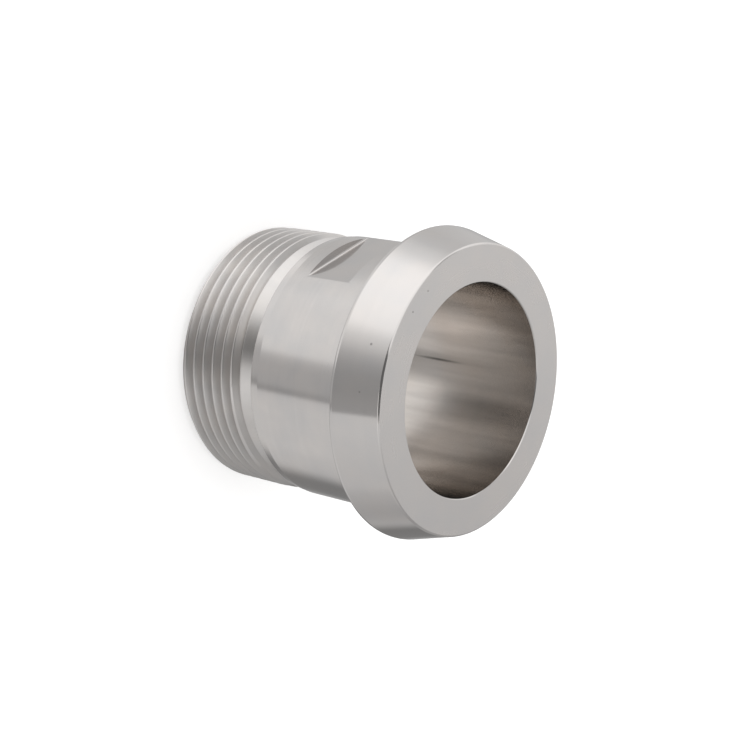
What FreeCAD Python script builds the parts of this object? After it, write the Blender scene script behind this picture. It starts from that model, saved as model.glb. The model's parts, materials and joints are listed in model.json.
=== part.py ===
"""Sanitary liner adapter: a coned union liner on one end, a male pipe thread on the other.

The fitting is turned from one bar and its two wrench flats are milled, so it is one solid.
It stands on its thread end: the origin is the centre of that end, +Z runs along the bore
towards the liner face, and the flats face -Y and +Y. Millimetres and degrees throughout.
"""
import FreeCAD, Part
import os

import Sketcher

PART_NAME = "liner_adapter"

# Driving sizes, each set by itself: alias, value, what it is.
SIZES = [
    ("total_length", 49.0, "thread end to liner face"),
    ("bore_diameter", 38.0, "through bore, the nominal size of the line"),
    ("mouth_edge_break", 0.3, "bevel at both mouths of the bore"),
    ("rim_diameter", 56.0, "largest diameter of the coned collar"),
    ("cone_half_angle", 15.0, "sealing cone, measured from the bore axis"),
    ("collar_thickness", 9.0, "liner face to the back shoulder that the union nut pulls on"),
    ("rim_land", 0.6, "straight land between the cone and the rim's bevel"),
    ("rim_edge_break", 0.3, "bevel behind the land"),
    ("face_edge_break", 0.45, "bevel round the outside of the liner face"),
    ("neck_step", 0.1, "the plain neck stands this far outside the thread's crest"),
    ("land_step", 0.2, "the neck's lower edge stands this far inside the neck"),
    ("land_length", 1.75, "shallow taper from that edge up to the full neck"),
    ("relief_wall_rise", 1.5, "height of the undercut's wall below the neck's lower edge"),
    ("relief_clearance", 0.456, "the undercut is this much deeper than the thread's root"),
    ("run_out_slope", 30.0, "slope of the undercut that the thread runs out on, from the axis"),
    ("thread_diameter", 47.803, "major diameter of the parallel pipe thread"),
    ("thread_pitch", 2.309, "eleven turns to the inch"),
    ("thread_length", 13.4, "thread end to the start of the run-out slope"),
    ("thread_flank_angle", 27.5, "half the angle of the thread's groove"),
    ("thread_run_in", 0.5, "gap between the thread end and the groove's start outside it"),
    ("end_chamfer", 1.5, "45 degree lead chamfer at the thread end"),
    ("flat_depth", 1.5, "depth of each wrench flat, which leaves 45 across the two"),
    ("flat_length", 9.6, "each wrench flat, along the neck"),
    ("flat_setback", 7.1, "back shoulder to the near end of each flat"),
]

# Radii and heights that follow from the driving sizes: alias, formula.
DERIVED = [
    ("bore_radius", "bore_diameter / 2"),
    ("mouth_radius", "bore_radius + mouth_edge_break"),
    ("upper_mouth_height", "total_length - mouth_edge_break"),
    ("rim_radius", "rim_diameter / 2"),
    ("rim_break_radius", "rim_radius - rim_edge_break"),
    ("shoulder_height", "total_length - collar_thickness"),
    ("rim_land_bottom", "shoulder_height + rim_edge_break"),
    ("rim_land_top", "rim_land_bottom + rim_land"),
    ("face_break_height", "total_length - face_edge_break"),
    ("cone_rise", "face_break_height - rim_land_top"),
    ("cone_tip_radius", "rim_radius - cone_rise * tan(cone_half_angle * 1 deg)"),
    ("face_radius", "cone_tip_radius - face_edge_break"),
    ("thread_radius", "thread_diameter / 2"),
    ("lead_radius", "thread_radius - end_chamfer"),
    ("thread_depth", "0.640327 * thread_pitch"),
    ("root_radius", "thread_radius - thread_depth"),
    ("relief_radius", "root_radius - relief_clearance"),
    ("neck_radius", "thread_radius + neck_step"),
    ("slope_bottom", "thread_length + (thread_radius - relief_radius) / tan(run_out_slope * 1 deg)"),
    ("run_out_height", "thread_length + thread_depth / tan(run_out_slope * 1 deg)"),
    ("land_radius", "neck_radius - land_step"),
    ("land_bottom", "slope_bottom + relief_wall_rise"),
    ("land_top", "land_bottom + land_length"),
    ("root_half_width", "thread_pitch / 12"),
    ("cutter_radius", "thread_radius + thread_pitch / 30"),
    ("cutter_flank_width", "(cutter_radius - root_radius) * tan(thread_flank_angle * 1 deg)"),
    ("cutter_half_width", "root_half_width + cutter_flank_width"),
    ("groove_start", "thread_run_in + cutter_half_width"),
    ("groove_low_outer", "groove_start + cutter_half_width"),
    ("groove_low_inner", "groove_start + root_half_width"),
    ("groove_high_inner", "groove_start - root_half_width"),
    ("groove_travel", "groove_start + run_out_height + root_half_width * 2"),
    ("flat_offset", "neck_radius - flat_depth"),
    ("flat_top", "shoulder_height - flat_setback"),
    ("flat_bottom", "flat_top - flat_length"),
    ("neck_width", "neck_radius * 2"),
]

ON_AXIS_LINE = ""


def fill_sheet(doc):
    """Write the driving and derived sizes, one row each: alias, value or formula, note."""
    sheet = doc.addObject("Spreadsheet::Sheet", "Sizes")
    rows = [(alias, str(value), note) for alias, value, note in SIZES]
    rows += [(alias, "=" + formula, "derived") for alias, formula in DERIVED]
    for row, (alias, content, note) in enumerate(rows, start=1):
        sheet.set(f"A{row}", alias)
        sheet.set(f"B{row}", content)
        sheet.set(f"C{row}", note)
        sheet.setAlias(f"B{row}", alias)
    doc.recompute()
    return sheet


def number(sheet, alias):
    """A cell's value as a plain number, or zero for a corner on the horizontal axis."""
    if alias == ON_AXIS_LINE:
        return 0.0
    value = getattr(sheet, alias)
    return float(getattr(value, "Value", value))


def origin_plane(body, role):
    """The body's own origin plane with this role."""
    return next(item for item in body.Origin.OriginFeatures if item.Role == role)


def bound_polygon(body, name, plane_role, corners, downwards=False):
    """A closed sketch whose every corner is held by two dimensions bound to the sheet.

    Each corner is (across, up), two aliases. An empty up puts it on the horizontal axis,
    and downwards measures up as a distance below that axis.
    """
    sheet = body.Document.getObject("Sizes")
    sketch = body.newObject("Sketcher::SketchObject", name)
    sketch.AttachmentSupport = (origin_plane(body, plane_role), [""])
    sketch.MapMode = "FlatFace"
    sign = -1.0 if downwards else 1.0
    spots = []
    for across, up in corners:
        spots.append(FreeCAD.Vector(number(sheet, across), sign * number(sheet, up), 0))
    count = len(corners)
    for index in range(count):
        sketch.addGeometry(Part.LineSegment(spots[index], spots[(index + 1) % count]), False)
    for index in range(count):
        following = (index + 1) % count
        sketch.addConstraint(Sketcher.Constraint("Coincident", index, 2, following, 1))
    for index, (across, up) in enumerate(corners):
        held = sketch.addConstraint(Sketcher.Constraint("DistanceX", -1, 1, index, 1, spots[index].x))
        sketch.setExpression(f"Constraints[{held}]", f"Sizes.{across}")
        if up == ON_AXIS_LINE:
            sketch.addConstraint(Sketcher.Constraint("PointOnObject", index, 1, -1))
            continue
        ends = (index, 1, -1, 1) if downwards else (-1, 1, index, 1)
        held = sketch.addConstraint(Sketcher.Constraint("DistanceY", *ends, abs(spots[index].y)))
        sketch.setExpression(f"Constraints[{held}]", f"Sizes.{up}")
    return sketch


def turn_blank(body):
    """The whole half section of the turned fitting, bore included, revolved once."""
    corners = [
        ("mouth_radius", ON_AXIS_LINE),
        ("lead_radius", ON_AXIS_LINE),
        ("thread_radius", "end_chamfer"),
        ("thread_radius", "thread_length"),
        ("relief_radius", "slope_bottom"),
        ("land_radius", "land_bottom"),
        ("neck_radius", "land_top"),
        ("neck_radius", "shoulder_height"),
        ("rim_break_radius", "shoulder_height"),
        ("rim_radius", "rim_land_bottom"),
        ("rim_radius", "rim_land_top"),
        ("cone_tip_radius", "face_break_height"),
        ("face_radius", "total_length"),
        ("mouth_radius", "total_length"),
        ("bore_radius", "upper_mouth_height"),
        ("bore_radius", "mouth_edge_break"),
    ]
    section = bound_polygon(body, "HalfSection", "XZ_Plane", corners)
    blank = body.newObject("PartDesign::Revolution", "TurnedBlank")
    blank.Profile = section
    blank.ReferenceAxis = (section, ["V_Axis"])
    blank.Angle = 360.0
    return blank


def cut_thread(body):
    """One right-hand groove from outside the thread end until it has left the run-out slope."""
    corners = [
        ("root_radius", "groove_low_inner"),
        ("cutter_radius", "groove_low_outer"),
        ("cutter_radius", "thread_run_in"),
        ("root_radius", "groove_high_inner"),
    ]
    tooth = bound_polygon(body, "ThreadGroove", "XZ_Plane", corners, downwards=True)
    thread = body.newObject("PartDesign::SubtractiveHelix", "PipeThread")
    thread.Profile = tooth
    thread.ReferenceAxis = (tooth, ["V_Axis"])
    thread.Mode = "pitch-height-angle"
    thread.setExpression("Pitch", "Sizes.thread_pitch")
    thread.setExpression("Height", "Sizes.groove_travel")
    thread.Angle = 0.0
    thread.LeftHanded = False
    thread.Reversed = False
    return thread


def mill_flats(body):
    """Two opposite wrench flats: one slot across the neck, then its mirror image."""
    corners = [
        ("flat_offset", "flat_bottom"),
        ("rim_radius", "flat_bottom"),
        ("rim_radius", "flat_top"),
        ("flat_offset", "flat_top"),
    ]
    slot = bound_polygon(body, "FlatSlot", "YZ_Plane", corners)
    flat = body.newObject("PartDesign::Pocket", "WrenchFlat")
    flat.Profile = slot
    flat.Type = "Length"
    flat.Midplane = True
    flat.setExpression("Length", "Sizes.neck_width")
    opposite = body.newObject("PartDesign::Mirrored", "BothFlats")
    opposite.Originals = [flat]
    opposite.MirrorPlane = (origin_plane(body, "XZ_Plane"), [""])
    body.Tip = opposite
    return opposite


def step_volume(doc, body, make, label, removes):
    """Make one feature, recompute, and stop unless it changed the solid the right way."""
    before = body.Shape.Volume if body.Shape and not body.Shape.isNull() else 0.0
    feature = make(body)
    doc.recompute()
    change = feature.Shape.Volume - before
    print(f"{label}: {change:+.1f} mm3")
    if (change < 0.0) != removes:
        raise RuntimeError(f"{label} changed the volume by {change:.3f} mm3")
    return feature


def check_document(doc):
    """Stop on any object that failed without raising."""
    for item in doc.Objects:
        if "Invalid" in item.State or "Error" in item.State:
            raise RuntimeError(f"{item.Name} is {item.State}")


def write_part(body):
    """Check the finished solid and write its STEP file."""
    shape = body.Shape
    if shape.isNull() or not shape.isValid() or len(shape.Solids) != 1:
        raise RuntimeError(f"{body.Label} is not one valid solid")
    os.makedirs("parts", exist_ok=True)
    shape.exportStep(f"parts/{body.Label}.step")
    box = shape.optimalBoundingBox(True, False)
    size = f"{box.XLength:.2f} x {box.YLength:.2f} x {box.ZLength:.2f} mm"
    print(f"{body.Label}: {shape.Volume:.1f} mm3 in {size}")


doc = FreeCAD.newDocument("LinerAdapter")
fill_sheet(doc)
adapter = doc.addObject("PartDesign::Body", "LinerAdapter")
adapter.Label = PART_NAME
adapter.Placement = FreeCAD.Placement()
step_volume(doc, adapter, turn_blank, "turned blank", removes=False)
step_volume(doc, adapter, mill_flats, "wrench flats", removes=True)
step_volume(doc, adapter, cut_thread, "pipe thread", removes=True)
check_document(doc)
write_part(adapter)
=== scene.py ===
# %% [markdown]
# # A liner adapter in turned stainless steel
#
# The real object is one piece: a bar is turned on a lathe, a pipe thread is cut on one end, a
# sealing cone and a flat liner face are turned on the other, and two wrench flats are milled
# across the neck. This lesson models that piece again, finer than the construction model does,
# and gives each machined surface the finish its own tool leaves.
#
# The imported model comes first, because its sizes and places are the ones that hold.

import json
import math

import bmesh
import bpy
from mathutils import Matrix, Vector


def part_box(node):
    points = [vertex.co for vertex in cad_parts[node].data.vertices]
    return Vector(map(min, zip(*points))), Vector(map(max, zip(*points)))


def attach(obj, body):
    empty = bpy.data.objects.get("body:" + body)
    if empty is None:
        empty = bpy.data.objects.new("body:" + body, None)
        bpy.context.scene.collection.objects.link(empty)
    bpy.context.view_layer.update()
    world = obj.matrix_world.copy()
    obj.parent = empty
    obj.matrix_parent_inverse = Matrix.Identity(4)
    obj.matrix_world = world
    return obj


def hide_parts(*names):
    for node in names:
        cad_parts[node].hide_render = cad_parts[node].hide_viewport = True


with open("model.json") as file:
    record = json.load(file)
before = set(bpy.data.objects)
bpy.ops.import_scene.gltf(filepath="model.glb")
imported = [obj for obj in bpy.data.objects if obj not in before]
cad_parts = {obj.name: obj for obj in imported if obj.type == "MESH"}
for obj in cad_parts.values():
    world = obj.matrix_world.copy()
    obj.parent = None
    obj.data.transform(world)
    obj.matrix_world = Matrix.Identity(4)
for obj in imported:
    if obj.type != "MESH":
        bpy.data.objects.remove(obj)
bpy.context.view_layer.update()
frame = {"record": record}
NODE = "liner_adapter"
lowest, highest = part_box(NODE)
print("packed model, mm:", [round(1000 * side, 2) for side in highest - lowest])

# %% [markdown]
# ## Sizes
#
# Modelling is done a thousand times too large, so that one Blender unit is one millimetre. The
# operators that bevel, merge and cut have tolerances of their own, which suit parts of that
# size. The finished mesh is scaled down to metres at the end.
#
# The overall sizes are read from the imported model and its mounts. The smaller ones are the
# drawing's: each is written once, and every corner of the section is worked out from them.

# %% Named sizes, in millimetres
MM = 0.001
mounts = {mount["name"]: mount for mount in frame["record"]["mounts"]}
TOTAL_LENGTH = highest.z / MM
RIM_RADIUS = highest.x / MM
BORE_RADIUS = mounts["bore"]["dims"]["r_mm"]
SHOULDER_HEIGHT = mounts["union_shoulder"]["pos_m"][2] / MM
FLAT_MIDDLE = mounts["wrench_flat_front"]["pos_m"][2] / MM
FLAT_OFFSET = 22.5015
FLAT_LENGTH = 9.6
FLAT_CORNER = 0.35
CONE_ANGLE = math.radians(15)
RIM_LAND = 0.35
RIM_EDGE = 0.3
FACE_EDGE = 0.28
MOUTH_EDGE = 0.16
PITCH = 2.309
THREAD_RADIUS = 23.9015
THREAD_DEPTH = 0.640327 * PITCH
THREAD_ROUNDING = 0.137329 * PITCH
FLANK_ANGLE = math.radians(27.5)
RUN_OUT_START = 13.4
RUN_OUT_SLOPE = math.radians(30)
NECK_RADIUS = 24.0015
RELIEF_HEIGHT = 16.75
RELIEF_RADIUS = THREAD_RADIUS - (RELIEF_HEIGHT - RUN_OUT_START) * math.tan(RUN_OUT_SLOPE)
LAND_RADIUS, LAND_BOTTOM, LAND_TOP = 23.8, 18.25, 20.0
END_CHAMFER = 1.5
GROOVE_PHASE = -1.502
STEPS = 256
print("length", round(TOTAL_LENGTH, 3), "rim radius", round(RIM_RADIUS, 3), "shoulder", SHOULDER_HEIGHT)

# %% [markdown]
# ## Helpers for working as by hand
#
# Every operator acts on what is selected, and loading the model leaves its nodes selected. So
# each step starts with nothing selected, and then picks vertices or faces by their place.

# %% Selecting by place
def leave_edit_mode():
    """Back to object mode with nothing selected."""
    if bpy.context.object is not None and bpy.context.object.mode != "OBJECT":
        bpy.ops.object.mode_set(mode="OBJECT")
    bpy.ops.object.select_all(action="DESELECT")


def work_on(piece):
    """Make this the only selected object, and the active one."""
    leave_edit_mode()
    piece.select_set(True)
    bpy.context.view_layer.objects.active = piece


def pick(piece, kind, test):
    """In edit mode, select the vertices, edges or faces that pass the test; return how many."""
    work_on(piece)
    bpy.ops.object.mode_set(mode="EDIT")
    bpy.ops.mesh.select_mode(type=kind)
    bpy.ops.mesh.select_all(action="DESELECT")
    mesh = bmesh.from_edit_mesh(piece.data)
    items = {"VERT": mesh.verts, "EDGE": mesh.edges, "FACE": mesh.faces}[kind]
    found = [item for item in items if test(item)]
    for item in found:
        item.select_set(True)
    mesh.select_flush_mode()
    bmesh.update_edit_mesh(piece.data)
    return len(found)


def apply_modifier(piece, modifier):
    """Bake one modifier into the mesh."""
    work_on(piece)
    bpy.ops.object.modifier_apply(modifier=modifier.name)


def radius_of(place):
    """Distance from the bore axis."""
    return math.hypot(place.x, place.y)


# %% [markdown]
# ## Drawing a section
#
# A turned part is its half section swept round the axis, so the section is drawn first. A plane
# is added and merged to a single vertex, and that vertex is extruded from corner to corner.
# Real turned edges are never knife sharp: each corner is bevelled by its own small radius, which
# is what later catches the light as a thin line.
#
# The neck also gets a ring of vertices just outside each end of the wrench flats. The two rings
# leave the shape as it is. They keep short the faces that the flats cut through, because long
# ones shade as faint lines.

# %% Draw an outline by extruding one vertex
def draw_chain(name, corners):
    """A chain of edges in the plane y = 0 through the corners (radius, height)."""
    leave_edit_mode()
    bpy.ops.mesh.primitive_plane_add(size=1)
    chain = bpy.context.object
    chain.name = chain.data.name = name
    bpy.ops.object.mode_set(mode="EDIT")
    bpy.ops.mesh.select_all(action="SELECT")
    bpy.ops.mesh.merge(type="CENTER")
    bpy.ops.mesh.select_mode(type="VERT")
    here = Vector((0, 0, 0))
    for index, (across, up) in enumerate(corners):
        step = Vector((across, 0, up)) - here
        here = Vector((across, 0, up))
        if index == 0:
            bpy.ops.transform.translate(value=step)
        else:
            bpy.ops.mesh.extrude_vertices_move(TRANSFORM_OT_translate={"value": step})
    return chain


def close_section(section, corners):
    """Fill the chain to one flat face, then round each corner that names a reach."""
    bpy.ops.mesh.select_all(action="SELECT")
    bpy.ops.mesh.edge_face_add()
    for across, up, reach in corners:
        if reach == 0:
            continue
        corner = Vector((across, 0, up))
        pick(section, "VERT", lambda vertex: (vertex.co - corner).length < 0.01)
        bpy.ops.mesh.bevel(
            offset_type="ABSOLUTE", offset=reach, segments=CORNER_STEPS, profile=0.5, affect="VERTICES"
        )


CORNER_STEPS = 4
STOCK_SPARE = 0.7
RELIEF_CORNER, SHOULDER_CORNER = 0.15, 0.2
FINE, SMALL = 0.04, 0.08
RING_GAP = 0.5
cone_base = SHOULDER_HEIGHT + RIM_EDGE + RIM_LAND
cone_top = TOTAL_LENGTH - FACE_EDGE
cone_tip_radius = RIM_RADIUS - (cone_top - cone_base) * math.tan(CONE_ANGLE)
stock_radius = THREAD_RADIUS + STOCK_SPARE
stock_bottom = END_CHAMFER + STOCK_SPARE
stock_top = RUN_OUT_START - STOCK_SPARE / math.tan(RUN_OUT_SLOPE)
SECTION = [
    (BORE_RADIUS + MOUTH_EDGE, 0, FINE),
    (THREAD_RADIUS - END_CHAMFER, 0, SMALL),
    (stock_radius, stock_bottom, 0),
    (stock_radius, stock_top, 0),
    (RELIEF_RADIUS, RELIEF_HEIGHT, RELIEF_CORNER),
    (LAND_RADIUS, LAND_BOTTOM, SMALL),
    (NECK_RADIUS, LAND_TOP, SMALL),
    (NECK_RADIUS, FLAT_MIDDLE - FLAT_LENGTH / 2 - RING_GAP, 0),
    (NECK_RADIUS, FLAT_MIDDLE + FLAT_LENGTH / 2 + RING_GAP, 0),
    (NECK_RADIUS, SHOULDER_HEIGHT, SHOULDER_CORNER),
    (RIM_RADIUS, SHOULDER_HEIGHT, RIM_EDGE),
    (RIM_RADIUS, cone_base, SMALL),
    (cone_tip_radius, cone_top, SMALL),
    (cone_tip_radius - FACE_EDGE, TOTAL_LENGTH, SMALL),
    (BORE_RADIUS + MOUTH_EDGE, TOTAL_LENGTH, FINE),
    (BORE_RADIUS, TOTAL_LENGTH - MOUTH_EDGE, FINE),
    (BORE_RADIUS, MOUTH_EDGE, FINE),
]
adapter = draw_chain("adapter", [(across, up) for across, up, _ in SECTION])
close_section(adapter, SECTION)
print("section corners:", len(SECTION), "vertices:", len(adapter.data.vertices))

# %% [markdown]
# ## Turning the blank
#
# Spin does what the lathe does. Only the outline is wanted, so the face goes first and the loop
# of edges is spun once round the axis.

# %% Spin the section
pick(adapter, "FACE", lambda face: True)
bpy.ops.mesh.delete(type="ONLY_FACE")
pick(adapter, "EDGE", lambda edge: True)
bpy.ops.mesh.spin(
    steps=STEPS, angle=2 * math.pi, center=(0, 0, 0), axis=(0, 0, 1), use_auto_merge=True, dupli=False
)
MERGE = 0.0005


def clean_shell(piece):
    """Merge doubles and turn every face outwards."""
    pick(piece, "VERT", lambda vertex: True)
    bpy.ops.mesh.remove_doubles(threshold=MERGE)
    bpy.ops.mesh.select_all(action="SELECT")
    bpy.ops.mesh.normals_make_consistent(inside=False)
    leave_edit_mode()


clean_shell(adapter)
print("turned blank:", len(adapter.data.polygons), "faces")

# %% [markdown]
# ## The thread
#
# A pipe thread has rounded crests and roots. One pitch of that wave is drawn from its formula,
# and the Screw modifier carries it up the axis, one pitch a turn. The blank was left a little
# thick there. The space round the thread is closed to a ring, and taking that ring away from the
# blank leaves the thread, its half turn in the lead chamfer and its run-out in the undercut, as
# the cutting tool does.

# %% One pitch of the wave
def wave(steps_per_arc):
    """The thread's section over one pitch, from the middle of one root to the next."""
    lean = math.pi / 2 - FLANK_ANGLE
    root = THREAD_RADIUS - THREAD_DEPTH + THREAD_ROUNDING
    crest = THREAD_RADIUS - THREAD_ROUNDING
    places = []
    for step in range(steps_per_arc // 2 + 1):
        turn = lean * step / (steps_per_arc // 2)
        places.append((root - THREAD_ROUNDING * math.cos(turn), THREAD_ROUNDING * math.sin(turn)))
    for step in range(steps_per_arc + 1):
        turn = lean * (2 * step / steps_per_arc - 1)
        up = PITCH / 2 + THREAD_ROUNDING * math.sin(turn)
        places.append((crest + THREAD_ROUNDING * math.cos(turn), up))
    for across, up in reversed(places[: steps_per_arc // 2 + 1]):
        places.append((across, PITCH - up))
    return places


HALF_STEP = math.pi / STEPS
TURNS = 9
ARC_STEPS = 6
start = GROOVE_PHASE - PITCH + PITCH * HALF_STEP / (2 * math.pi)
ring = draw_chain("thread_space", [(across, start + up) for across, up in wave(ARC_STEPS)])
leave_edit_mode()
ring.rotation_euler.z = HALF_STEP
work_on(ring)
bpy.ops.object.transform_apply(rotation=True)
screw = ring.modifiers.new("screw", "SCREW")
screw.axis = "Z"
screw.angle = 2 * math.pi
screw.screw_offset = PITCH
screw.iterations = TURNS
screw.steps = screw.render_steps = STEPS
screw.use_merge_vertices = True
screw.merge_threshold = MERGE
apply_modifier(ring, screw)
pick(ring, "VERT", lambda vertex: True)
bpy.ops.mesh.remove_doubles(threshold=MERGE)

# %% Close the space round the thread
RING_BOTTOM, RING_TOP = -0.6, RELIEF_HEIGHT - 0.4
RING_SPREAD = 1.3
for height, inner, outer in ((RING_BOTTOM, True, False), (RING_TOP, False, True)):
    pick(ring, "FACE", lambda face: True)
    bpy.ops.mesh.bisect(
        plane_co=(0, 0, height), plane_no=(0, 0, 1), clear_inner=inner, clear_outer=outer, threshold=1e-5
    )
pick(ring, "EDGE", lambda edge: edge.is_boundary)
bpy.ops.mesh.extrude_edges_move(TRANSFORM_OT_translate={"value": (0, 0, 0)})
bpy.ops.transform.resize(value=(RING_SPREAD, RING_SPREAD, 1), center_override=(0, 0, 0))
bpy.ops.mesh.bridge_edge_loops()
clean_shell(ring)
print("space round the thread:", len(ring.data.polygons), "faces")

# %% Cut the thread
def cut_away(piece, tool):
    """Boolean difference, and the tool is thrown away."""
    cut = piece.modifiers.new("cut", "BOOLEAN")
    cut.operation = "DIFFERENCE"
    cut.solver = "EXACT"
    cut.object = tool
    apply_modifier(piece, cut)
    bpy.data.objects.remove(tool)


cut_away(adapter, ring)
clean_shell(adapter)
print("threaded blank:", len(adapter.data.polygons), "faces")

# %% [markdown]
# ## The wrench flats
#
# Each flat is milled across the neck, so it has a straight floor, and a wall at both ends where
# the cutter stopped. The cutter's corners are worn a little round. A cube of the cutter's size
# is added at its place, its two leading edges are bevelled, and it is taken away from the neck.

# %% Mill the two flats
CUTTER_STEPS = 5


def flat_cutter(side):
    """The space one milled flat takes, on the -Y side (side -1) or the +Y side (side 1)."""
    depth = RIM_RADIUS - FLAT_OFFSET
    leave_edit_mode()
    bpy.ops.mesh.primitive_cube_add(
        size=1,
        location=(0, side * (FLAT_OFFSET + depth / 2), FLAT_MIDDLE),
        scale=(2 * RIM_RADIUS, depth, FLAT_LENGTH),
    )
    cutter = bpy.context.object
    cutter.name = "flat_cutter"
    bpy.ops.object.transform_apply(location=True, rotation=True, scale=True)
    leading = FLAT_OFFSET + 0.01
    pick(cutter, "EDGE", lambda edge: all(side * end.co.y < leading for end in edge.verts)
         and abs(edge.verts[0].co.z - edge.verts[1].co.z) < 0.01)
    bpy.ops.mesh.bevel(offset=FLAT_CORNER, segments=CUTTER_STEPS, profile=0.5, affect="EDGES")
    leave_edit_mode()
    return cutter


for side in (-1, 1):
    cut_away(adapter, flat_cutter(side))
clean_shell(adapter)
print("with flats:", len(adapter.data.polygons), "faces")

# %% [markdown]
# ## Smooth shading that keeps the machined planes true
#
# Round surfaces shade smooth, and edges over a set angle stay sharp. Beside a small rounding, a
# plain smooth normal would also bend the large face next to it, which shows at once in bare
# metal. The Weighted Normal modifier lets the large face win. After it, the mesh goes down to
# metres.

# %% Shade, then scale down to metres
SHARP_ANGLE = math.radians(28)
pick(adapter, "FACE", lambda face: True)
bpy.ops.transform.resize(value=(MM, MM, MM), center_override=(0, 0, 0))
work_on(adapter)
bpy.ops.object.shade_smooth_by_angle(angle=SHARP_ANGLE)
weighting = adapter.modifiers.new("weighting", "WEIGHTED_NORMAL")
weighting.mode = "FACE_AREA"
weighting.keep_sharp = True
apply_modifier(adapter, weighting)
print("adapter, mm:", [round(side / MM, 2) for side in adapter.dimensions])

# %% [markdown]
# ## Shared effects
#
# Four effects belong to more than one finish, so each is a node group. Tool marks are fine
# rings: noise that changes fast along the section and slowly round the axis. Draw lines are the
# opposite, and run along the axis; the bore's strong ones are painted reflection bands. Haze is
# the soft cloudiness of handled steel. A mark darkens the steel round a named place, less and
# less towards its edge. A small one is a pit, a narrow one is a fine line along the axis, and a
# very wide one is painted shade that darkens the bore towards its mouth, standing in for a dark
# reflection.

# %% Node helpers
def new_group(name, inputs, outputs):
    """An empty shader node group with these named sockets."""
    group = bpy.data.node_groups.new(name, "ShaderNodeTree")
    for socket, default in inputs:
        made = group.interface.new_socket(name=socket, in_out="INPUT", socket_type="NodeSocketFloat")
        made.default_value = default
    for socket in outputs:
        group.interface.new_socket(name=socket, in_out="OUTPUT", socket_type="NodeSocketFloat")
    return group, group.nodes.new("NodeGroupInput"), group.nodes.new("NodeGroupOutput")


def maths(tree, operation, first, second=None, third=None):
    """One Math node; an argument is a socket or a number. Returns its output."""
    node = tree.nodes.new("ShaderNodeMath")
    node.operation = operation
    for index, value in enumerate((first, second, third)):
        if isinstance(value, (int, float)):
            node.inputs[index].default_value = value
        elif value is not None:
            tree.links.new(value, node.inputs[index])
    return node.outputs[0]


def object_place(tree):
    """Object coordinates, split: the vector, x, y and z."""
    place = tree.nodes.new("ShaderNodeTexCoord").outputs["Object"]
    parts = tree.nodes.new("ShaderNodeSeparateXYZ")
    tree.links.new(place, parts.inputs[0])
    return place, parts.outputs[0], parts.outputs[1], parts.outputs[2]


def axis_distance(tree, x, y):
    """The distance from the bore axis."""
    squares = maths(tree, "ADD", maths(tree, "MULTIPLY", x, x), maths(tree, "MULTIPLY", y, y))
    return maths(tree, "SQRT", squares)


def link_heading(tree, x, y, repeat, vector):
    """Put the direction away from the axis, times repeat, on the vector's first two inputs."""
    safe = maths(tree, "MAXIMUM", axis_distance(tree, x, y), SMALLEST_RADIUS)
    for axis, part in enumerate((x, y)):
        heading = maths(tree, "DIVIDE", part, safe)
        tree.links.new(maths(tree, "MULTIPLY", heading, repeat), vector.inputs[axis])


SMALLEST_RADIUS = 0.001
BAND_SCALE = 0.12


# %% Tool marks: rings round the axis
def make_tool_marks():
    """Fine rings, and bands of them, as noise that is fast along the section."""
    group, given, made = new_group("tool marks", [("Spacing mm", 0.3), ("Drift", 1.0)], ["Rings", "Bands"])
    _, x, y, z = object_place(group)
    along = maths(group, "ADD", axis_distance(group, x, y), z)
    for scale, socket in ((1.0, "Rings"), (BAND_SCALE, "Bands")):
        joined = group.nodes.new("ShaderNodeCombineXYZ")
        link_heading(group, x, y, given.outputs["Drift"], joined)
        scaled = maths(group, "MULTIPLY", along, scale / MM)
        fast = maths(group, "DIVIDE", scaled, given.outputs["Spacing mm"])
        group.links.new(fast, joined.inputs[2])
        noise = group.nodes.new("ShaderNodeTexNoise")
        noise.inputs["Scale"].default_value = 1.0
        noise.inputs["Detail"].default_value = 1.0
        group.links.new(joined.outputs[0], noise.inputs["Vector"])
        group.links.new(noise.outputs[0], made.inputs[socket])
    return group


tool_marks = make_tool_marks()
print("group:", tool_marks.name)

# %% Draw lines and painted bands: streaks along the axis
def make_draw_lines_and_painted_bands():
    """Long streaks, as noise that is fast round the axis and slow along it."""
    group, given, made = new_group("draw lines and painted bands", [("Count", 6.0), ("Length mm", 40.0)], ["Streaks"])
    _, x, y, z = object_place(group)
    joined = group.nodes.new("ShaderNodeCombineXYZ")
    link_heading(group, x, y, given.outputs["Count"], joined)
    slow = maths(group, "DIVIDE", maths(group, "DIVIDE", z, MM), given.outputs["Length mm"])
    group.links.new(slow, joined.inputs[2])
    noise = group.nodes.new("ShaderNodeTexNoise")
    noise.inputs["Scale"].default_value = 1.0
    noise.inputs["Detail"].default_value = 2.0
    group.links.new(joined.outputs[0], noise.inputs["Vector"])
    group.links.new(noise.outputs[0], made.inputs["Streaks"])
    return group


draw_lines_and_painted_bands = make_draw_lines_and_painted_bands()
print("group:", draw_lines_and_painted_bands.name)

# %% Haze: soft clouds
def make_haze():
    """Soft clouds of a given size."""
    group, given, made = new_group("haze", [("Size mm", 6.0)], ["Cloud"])
    place, _, _, _ = object_place(group)
    noise = group.nodes.new("ShaderNodeTexNoise")
    noise.inputs["Detail"].default_value = 3.0
    group.links.new(place, noise.inputs["Vector"])
    group.links.new(maths(group, "DIVIDE", 1 / MM, given.outputs["Size mm"]), noise.inputs["Scale"])
    group.links.new(noise.outputs[0], made.inputs["Cloud"])
    return group


haze = make_haze()
print("group:", haze.name)
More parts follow.
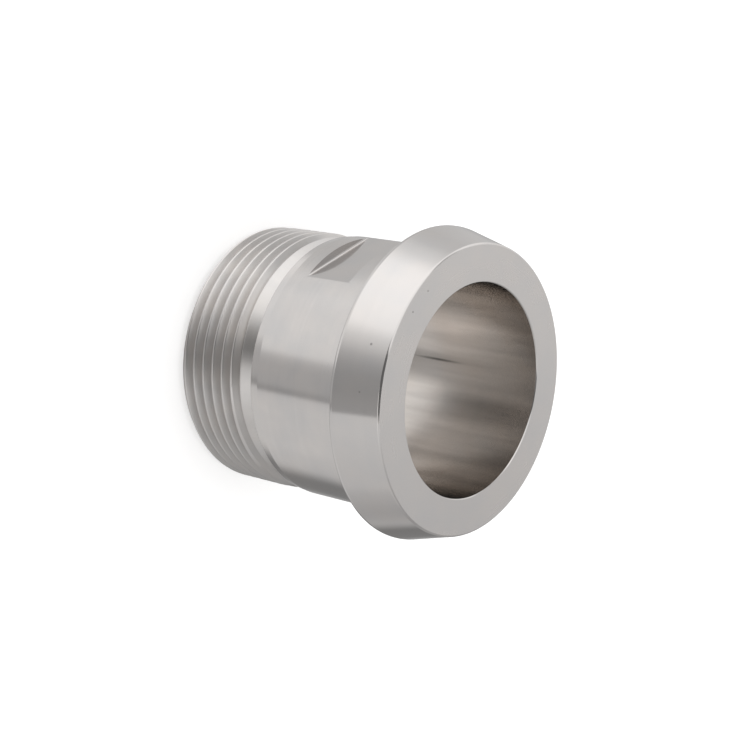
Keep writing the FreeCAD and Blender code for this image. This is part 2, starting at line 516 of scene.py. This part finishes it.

# %% Mark: a pit, a fine line or painted shade round one place
def make_mark():
    """One at the named place, falling evenly to nought at the width and the length from it."""
    sizes = [("X mm", 0.0), ("Y mm", 0.0), ("Z mm", 0.0), ("Width mm", 0.3), ("Length mm", 0.3)]
    group, given, made = new_group("mark", sizes, ["Mark"])
    _, *parts = object_place(group)
    squares = []
    for axis, part in enumerate(parts):
        apart = maths(group, "SUBTRACT", maths(group, "DIVIDE", part, MM), given.outputs[axis])
        reach = given.outputs["Length mm"] if axis == 2 else given.outputs["Width mm"]
        share = maths(group, "DIVIDE", apart, reach)
        squares.append(maths(group, "MULTIPLY", share, share))
    total = maths(group, "ADD", maths(group, "ADD", squares[0], squares[1]), squares[2])
    mark = maths(group, "SUBTRACT", 1, maths(group, "SQRT", total))
    group.links.new(maths(group, "MAXIMUM", mark, 0), made.inputs["Mark"])
    return group


mark = make_mark()
print("group:", mark.name)

# %% [markdown]
# ## The steel
#
# All finishes are the same metal, so one function builds the material, and each finish gives it
# its own values: base colour, roughness, how strong the rings are, and how much the reflection is
# drawn out across them. A turned surface blurs a reflection along the axis and keeps it crisp
# round the axis, which is what anisotropy with a turned tangent does.
#
# The bore's strong streaks and its darkening towards the mouth aren't in the steel: they are
# painted reflection and painted shade. They stand in for what the real bore mirrors in the photo,
# so under another light they can be left out.

# %% Build one steel finish
RADIAL_TURN = 0.25
ROUGHNESS_SWING = 0.02


def effect(tree, group, **values):
    """One of the shared effects in a material, with its inputs set."""
    node = tree.nodes.new("ShaderNodeGroup")
    node.node_tree = group
    for socket, value in values.items():
        node.inputs[socket.replace("_", " ")].default_value = value
    return node.outputs


def swing(tree, value, amount):
    """A noise value as a small change round zero."""
    return maths(tree, "MULTIPLY_ADD", value, amount, -amount / 2)


def darken_at_marks(tree, shade, places):
    """The shade, darker at each (angle, radius, height, width, length, darkness)."""
    for angle, radius, height, width, length, darkness in places:
        x = radius * math.cos(math.radians(angle))
        y = radius * math.sin(math.radians(angle))
        found = effect(tree, mark, X_mm=x, Y_mm=y, Z_mm=height, Width_mm=width, Length_mm=length)
        kept = maths(tree, "MULTIPLY_ADD", found["Mark"], -darkness, 1)
        shade = maths(tree, "MULTIPLY", shade, kept)
    return shade


def steel(name, colour, roughness, stretch, rings_mm, tones, places=()):
    """A stainless finish; tones are the strengths of its rings, bands, haze and streaks (in the bore,
    painted reflection bands).
    """
    ring_tone, band_tone, haze_tone, streak_tone = tones
    material = bpy.data.materials.new(name)
    material.use_nodes = True
    tree = material.node_tree
    shader = tree.nodes["Principled BSDF"]
    shader.inputs["Metallic"].default_value = 1.0
    shader.inputs["Anisotropic"].default_value = stretch
    shader.inputs["Anisotropic Rotation"].default_value = RADIAL_TURN
    tangent = tree.nodes.new("ShaderNodeTangent")
    tangent.direction_type = "RADIAL"
    tangent.axis = "Z"
    tree.links.new(tangent.outputs[0], shader.inputs["Tangent"])
    marks = effect(tree, tool_marks, Spacing_mm=rings_mm, Drift=RING_DRIFT)
    cloud = effect(tree, haze, Size_mm=HAZE_MM)["Cloud"]
    streaks = effect(tree, draw_lines_and_painted_bands, Count=STREAK_COUNT, Length_mm=STREAK_MM)["Streaks"]
    shade = maths(tree, "ADD", swing(tree, marks["Rings"], ring_tone), 1)
    shade = maths(tree, "ADD", shade, swing(tree, marks["Bands"], band_tone))
    shade = maths(tree, "ADD", shade, swing(tree, cloud, haze_tone))
    shade = maths(tree, "ADD", shade, swing(tree, streaks, streak_tone))
    shade = darken_at_marks(tree, shade, places)
    grey = tree.nodes.new("ShaderNodeCombineColor")
    warmth = swing(tree, cloud, WARMTH)
    tree.links.new(maths(tree, "ADD", shade, warmth), grey.inputs["Red"])
    tree.links.new(shade, grey.inputs["Green"])
    tree.links.new(maths(tree, "SUBTRACT", shade, warmth), grey.inputs["Blue"])
    tint = tree.nodes.new("ShaderNodeMix")
    tint.data_type = "RGBA"
    tint.blend_type = "MULTIPLY"
    tint.inputs["Factor"].default_value = 1.0
    tint.inputs[6].default_value = (*colour, 1)
    tree.links.new(grey.outputs[0], tint.inputs[7])
    tree.links.new(tint.outputs[2], shader.inputs["Base Color"])
    rough = maths(tree, "ADD", swing(tree, cloud, ROUGHNESS_SWING), roughness)
    rough = maths(tree, "ADD", swing(tree, marks["Rings"], ROUGHNESS_SWING), rough)
    tree.links.new(rough, shader.inputs["Roughness"])
    return material


# %% The finishes, with their colours, roughness and marks
RING_DRIFT, HAZE_MM, WARMTH = 0.8, 6.0, 0.05
STREAK_COUNT, STREAK_MM = 6.0, 34.0
PIT, LINE, PAINTED_MOUTH_SHADE = 0.8, 0.8, 0.40
ALL_ROUND = 1000
STEEL = (0.665, 0.642, 0.628)
THREAD_STEEL = (0.64, 0.62, 0.605)
BORE_STEEL = (0.66, 0.62, 0.585)
CONE_MARKS = [(-42.6, 26.75, 45.73, 0.32, 0.32, PIT), (-25.3, 26.86, 45.35, 0.22, 0.22, PIT)]
FACE_MARKS = [(-60.2, 23.87, 49, 0.22, 0.22, PIT), (-72.1, 23.59, 49, 0.20, 0.20, PIT)]
# The last bore mark is painted shade: it darkens the bore towards its mouth, standing in for a dark
# reflection.
BORE_MARKS = [(161, 19, 26.5, 0.35, 6.5, LINE), (0, 0, 49, ALL_ROUND, 18, PAINTED_MOUTH_SHADE)]
FINISHES = {
    "turned_neck": steel("turned_neck", STEEL, 0.15, 0.5, 0.30, (0.04, 0.05, 0.15, 0.03)),
    "ground_cone": steel("ground_cone", STEEL, 0.11, 0.4, 0.22, (0.02, 0.03, 0.09, 0.02), CONE_MARKS),
    "faced_end": steel("faced_end", STEEL, 0.27, 0.4, 0.80, (0.012, 0.04, 0.08, 0), FACE_MARKS),
    "milled_flat": steel("milled_flat", STEEL, 0.14, 0.0, 0.40, (0.02, 0.03, 0.08, 0.02)),
    "cut_thread": steel("cut_thread", THREAD_STEEL, 0.30, 0.3, 0.25, (0.05, 0.06, 0.18, 0.14)),
    # The bore's streak tone of 0.8 paints reflection bands along the axis.
    "bored_wall": steel("bored_wall", BORE_STEEL, 0.20, 0.3, 0.35, (0.03, 0.04, 0.06, 0.8), BORE_MARKS),
}
for material in FINISHES.values():
    adapter.data.materials.append(material)
print("finishes:", list(FINISHES))

# %% [markdown]
# ## Which finish goes where
#
# A face's place says which tool made it.

# %% Give each face its finish
CLOSE, NEAR_PLANE, HAIR = 0.02, 0.05, 0.001


def finish_of(face):
    """The name of the finish at this face of the metre-sized mesh."""
    place = Vector(face.center) / MM
    radius = radius_of(place)
    if radius < BORE_RADIUS + CLOSE:
        return "bored_wall"
    if abs(place.z - FLAT_MIDDLE) < FLAT_LENGTH / 2 + HAIR and radius < NECK_RADIUS - CLOSE:
        return "milled_flat"
    if place.z > SHOULDER_HEIGHT + NEAR_PLANE:
        return "faced_end" if place.z > TOTAL_LENGTH - NEAR_PLANE else "ground_cone"
    if place.z < LAND_BOTTOM - NEAR_PLANE:
        return "cut_thread" if place.z > NEAR_PLANE else "faced_end"
    return "turned_neck"


order = list(FINISHES)
counted = dict.fromkeys(order, 0)
for face in adapter.data.polygons:
    finish = finish_of(face)
    face.material_index = order.index(finish)
    counted[finish] += 1
print("faces by finish:", counted)
adapter.name = adapter.data.name = "adapter_body"
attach(adapter, "root")
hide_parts(NODE)

# %% [markdown]
# ## Floor
#
# A plain white floor. Part of its white is its own when the camera looks at it, so it meets the
# white background without an edge, and the rest is lit, so the adapter's soft shadow stays.

# %% Floor
FLOOR_SIZE, FLOOR_DROP = 6, 0.00005
FLOOR_WHITE, OWN_WHITE = 0.9, 0.35
leave_edit_mode()
bpy.ops.mesh.primitive_plane_add(size=FLOOR_SIZE, location=(0, 0, -FLOOR_DROP))
floor = bpy.context.object
floor.name = "floor"
floor.visible_glossy = False
paint = bpy.data.materials.new("floor_white")
paint.use_nodes = True
tree = paint.node_tree
tree.nodes.clear()
lit = tree.nodes.new("ShaderNodeBsdfDiffuse")
lit.inputs["Color"].default_value = (FLOOR_WHITE, FLOOR_WHITE, FLOOR_WHITE, 1)
own = tree.nodes.new("ShaderNodeEmission")
own.inputs["Color"].default_value = (1, 1, 1, 1)
path = tree.nodes.new("ShaderNodeLightPath")
seen = maths(tree, "MULTIPLY", path.outputs["Is Camera Ray"], OWN_WHITE)
tree.links.new(seen, own.inputs["Strength"])
both = tree.nodes.new("ShaderNodeAddShader")
tree.links.new(lit.outputs[0], both.inputs[0])
tree.links.new(own.outputs[0], both.inputs[1])
result = tree.nodes.new("ShaderNodeOutputMaterial")
tree.links.new(both.outputs[0], result.inputs["Surface"])
floor.data.materials.append(paint)
print("floor under the adapter, mm:", round(floor.location.z / MM, 2))

# %% [markdown]
# ## Light
#
# Bare metal shows what stands round it, so the light is a tent with five sides. Each side is a
# ramp of greys from below to above. The tent leans with the camera's turned head: its "up" is the
# direction that points up in the picture. Behind the camera is a dark gap, which the edges and
# slopes that face the camera show, and a bright strip lies below it on the left. The ground is a
# darker grey, and a card of mid grey hangs where the end walls of the milled flat look. Away
# from the metal the world is plain white.
#
# Each part of the tent has an edge: the two places between which it comes in.
#
# The levels and edges were set with the photo's tones at a few dozen places on the part as the
# guide. So they are the light of this one picture, and another would need its own.

# %% The tent's directions and levels
TENT_UP = Vector((-0.152, -0.983, 0.103)).normalized()
TENT_AHEAD = Vector((-0.773, 0.053, -0.633)).normalized()
TENT_RIGHT = TENT_AHEAD.cross(TENT_UP).normalized()
BEHIND = [(-1, 0.50), (-0.87, 0.64), (-0.7, 0.67), (-0.34, 0.73), (-0.13, 0.73), (-0.11, 0.40), (0.15, 0.36),
          (0.32, 0.38), (0.44, 0.45), (0.53, 0.56), (0.62, 0.74), (0.70, 0.90), (0.79, 1.18), (1, 1.35)]
SIDE = [(-1, 0.38), (-0.95, 0.50), (-0.85, 0.63), (-0.72, 0.72), (-0.4, 0.73), (-0.21, 0.70),
        (-0.19, 0.34), (-0.15, 0.36), (-0.11, 0.50), (0.12, 0.51), (0.20, 0.58), (0.27, 0.88),
        (0.5, 0.92), (0.66, 0.93), (0.78, 1.2), (1, 1.35)]
LEFT = [(-1, 0.24), (-0.7, 0.24), (-0.5, 0.50), (-0.36, 0.72), (-0.16, 0.86), (0, 1.0),
        (0.45, 1.0), (0.62, 0.88), (0.70, 0.88), (0.85, 1.2), (1, 1.35)]
AHEAD = [(-1, 0.14), (-0.6, 0.15), (-0.3, 0.38), (0, 0.60), (0.2, 0.60), (0.45, 0.63), (0.66, 0.74),
         (0.82, 0.97), (0.9, 1.25), (1, 1.35)]
RIGHT = [(-1, 0.40), (-0.45, 0.50), (-0.34, 0.60), (-0.27, 0.72), (-0.22, 0.78), (0, 0.80),
         (0.3, 0.95), (0.5, 1.08), (0.8, 1.2), (1, 1.35)]
GAP_LEVEL = 0.15
CARD = Vector((-0.653, -0.430, 0.623)).normalized()
CARD_LEVEL = 0.55
GROUND = Vector((0, 0, -1))
GROUND_LEVEL = 0.42
STRIP_LEVEL = 1.05
LEAN_LEFT, LEAN_GAP_LOW, LEAN_GAP_HIGH = 0.45, 0.70, 0.78
LEFT_EDGE, SIDE_EDGE, FRONT_EDGE, RIGHT_EDGE = (-0.18, -0.10), (-0.36, -0.18), (0.28, 0.48), (0.1, 0.35)
GAP_DEPTH, GAP_FOOT, GAP_HEAD = (-0.74, -0.60), (-0.09, -0.03), (0.68, 0.76)
STRIP_DEPTH, STRIP_SIDE, STRIP_FOOT = (-0.82, -0.74), (-0.3, -0.1), (-0.66, -0.52)
GROUND_EDGE, CARD_EDGE = (0.89, 0.95), (0.93, 0.965)
print("tent up:", [round(part, 3) for part in TENT_UP])

# %% Helpers for the world's nodes
def levels(tree, value, places):
    """A ramp of grey levels over a value that runs from -1 to 1."""
    ramp = tree.nodes.new("ShaderNodeValToRGB")
    stops = ramp.color_ramp.elements
    while len(stops) > 1:
        stops.remove(stops[-1])
    for index, (place, level) in enumerate(places):
        stop = stops[0] if index == 0 else stops.new((place + 1) / 2)
        stop.position = (place + 1) / 2
        stop.color = (level / 2, level / 2, level / 2, 1)
    tree.links.new(maths(tree, "MULTIPLY_ADD", value, 0.5, 0.5), ramp.inputs[0])
    return maths(tree, "MULTIPLY", ramp.outputs[0], 2)


def rise(tree, value, edge):
    """Nought below the edge's first place, one above its second, smooth between."""
    ease = tree.nodes.new("ShaderNodeMapRange")
    ease.interpolation_type = "SMOOTHSTEP"
    ease.inputs["From Min"].default_value, ease.inputs["From Max"].default_value = edge
    tree.links.new(value, ease.inputs["Value"])
    return ease.outputs["Result"]


def fall(tree, value, edge):
    """The other way round: one below the edge, nought above it."""
    return maths(tree, "SUBTRACT", 1, rise(tree, value, edge))


def blend(tree, share, first, second):
    """first where the share is nought, second where it is one."""
    rest = maths(tree, "SUBTRACT", 1, share)
    return maths(tree, "ADD", maths(tree, "MULTIPLY", first, rest), maths(tree, "MULTIPLY", second, share))


# %% The world
world = bpy.data.worlds.new("tent")
bpy.context.scene.world = world
world.use_nodes = True
tree = world.node_tree
direction = tree.nodes.new("ShaderNodeTexCoord").outputs["Generated"]


def share_along(axis):
    """How far a ray points along this direction, from -1 to 1."""
    dot = tree.nodes.new("ShaderNodeVectorMath")
    dot.operation = "DOT_PRODUCT"
    tree.links.new(direction, dot.inputs[0])
    dot.inputs[1].default_value = axis
    return dot.outputs["Value"]


above, ahead, right = share_along(TENT_UP), share_along(TENT_AHEAD), share_along(TENT_RIGHT)
leaning = maths(tree, "MULTIPLY_ADD", above, LEAN_LEFT, right)
front = blend(tree, rise(tree, leaning, LEFT_EDGE), levels(tree, above, LEFT), levels(tree, above, AHEAD))
back = blend(tree, rise(tree, ahead, SIDE_EDGE), levels(tree, above, BEHIND), levels(tree, above, SIDE))
sides = blend(tree, rise(tree, ahead, FRONT_EDGE), back, front)
walls = blend(tree, rise(tree, right, RIGHT_EDGE), sides, levels(tree, above, RIGHT))
low = maths(tree, "MULTIPLY_ADD", maths(tree, "MINIMUM", right, 0), LEAN_GAP_LOW, above)
high = maths(tree, "MULTIPLY_ADD", right, LEAN_GAP_HIGH, above)
gap_band = maths(tree, "MULTIPLY", rise(tree, low, GAP_FOOT), fall(tree, high, GAP_HEAD))
gap = maths(tree, "MULTIPLY", fall(tree, ahead, GAP_DEPTH), gap_band)
strip_band = maths(tree, "MULTIPLY", rise(tree, low, STRIP_FOOT), fall(tree, low, GAP_FOOT))
strip_place = maths(tree, "MULTIPLY", fall(tree, ahead, STRIP_DEPTH), fall(tree, right, STRIP_SIDE))
lit = blend(tree, maths(tree, "MULTIPLY", strip_place, strip_band), walls, STRIP_LEVEL)
gapped = blend(tree, gap, lit, GAP_LEVEL)
grounded = blend(tree, rise(tree, share_along(GROUND), GROUND_EDGE), gapped, GROUND_LEVEL)
tent = blend(tree, rise(tree, share_along(CARD), CARD_EDGE), grounded, CARD_LEVEL)
path = tree.nodes.new("ShaderNodeLightPath")
mirrored = path.outputs["Is Glossy Ray"]
plain = maths(tree, "SUBTRACT", 1, mirrored)
strength = maths(tree, "ADD", maths(tree, "MULTIPLY", tent, mirrored), plain)
tree.links.new(strength, tree.nodes["Background"].inputs["Strength"])
tree.nodes["Background"].inputs["Color"].default_value = (1.0, 0.995, 0.992, 1)
print("world nodes:", len(tree.nodes))

# %% [markdown]
# ## Camera
#
# The camera looks down on the adapter's neck and into its bore, with its head turned, so the
# picture shows the adapter lying over as it does on a table.

# %% Camera
VIEW = Vector((-0.6532, 0.4300, -0.6232)).normalized()
PICTURE_UP = Vector((-0.4398, -0.8855, -0.1500)).normalized()
PICTURE_RIGHT = VIEW.cross(PICTURE_UP).normalized()
turned = Matrix((PICTURE_RIGHT, PICTURE_RIGHT.cross(VIEW), -VIEW)).transposed()
CAMERA_PLACE = (0.206125, -0.135043, 0.223121)
LENS_LENGTH = 83.363
lens = bpy.data.cameras.new("camera")
lens.lens = LENS_LENGTH
lens.sensor_width = 36
lens.clip_start = 0.01
lens.clip_end = 20
camera = bpy.data.objects.new("camera", lens)
bpy.context.scene.collection.objects.link(camera)
camera.matrix_world = Matrix.Translation(CAMERA_PLACE) @ turned.to_4x4()
bpy.context.scene.camera = camera
bpy.context.scene.view_settings.view_transform = "Standard"
print("camera to the origin, mm:", round(camera.location.length / MM, 1))
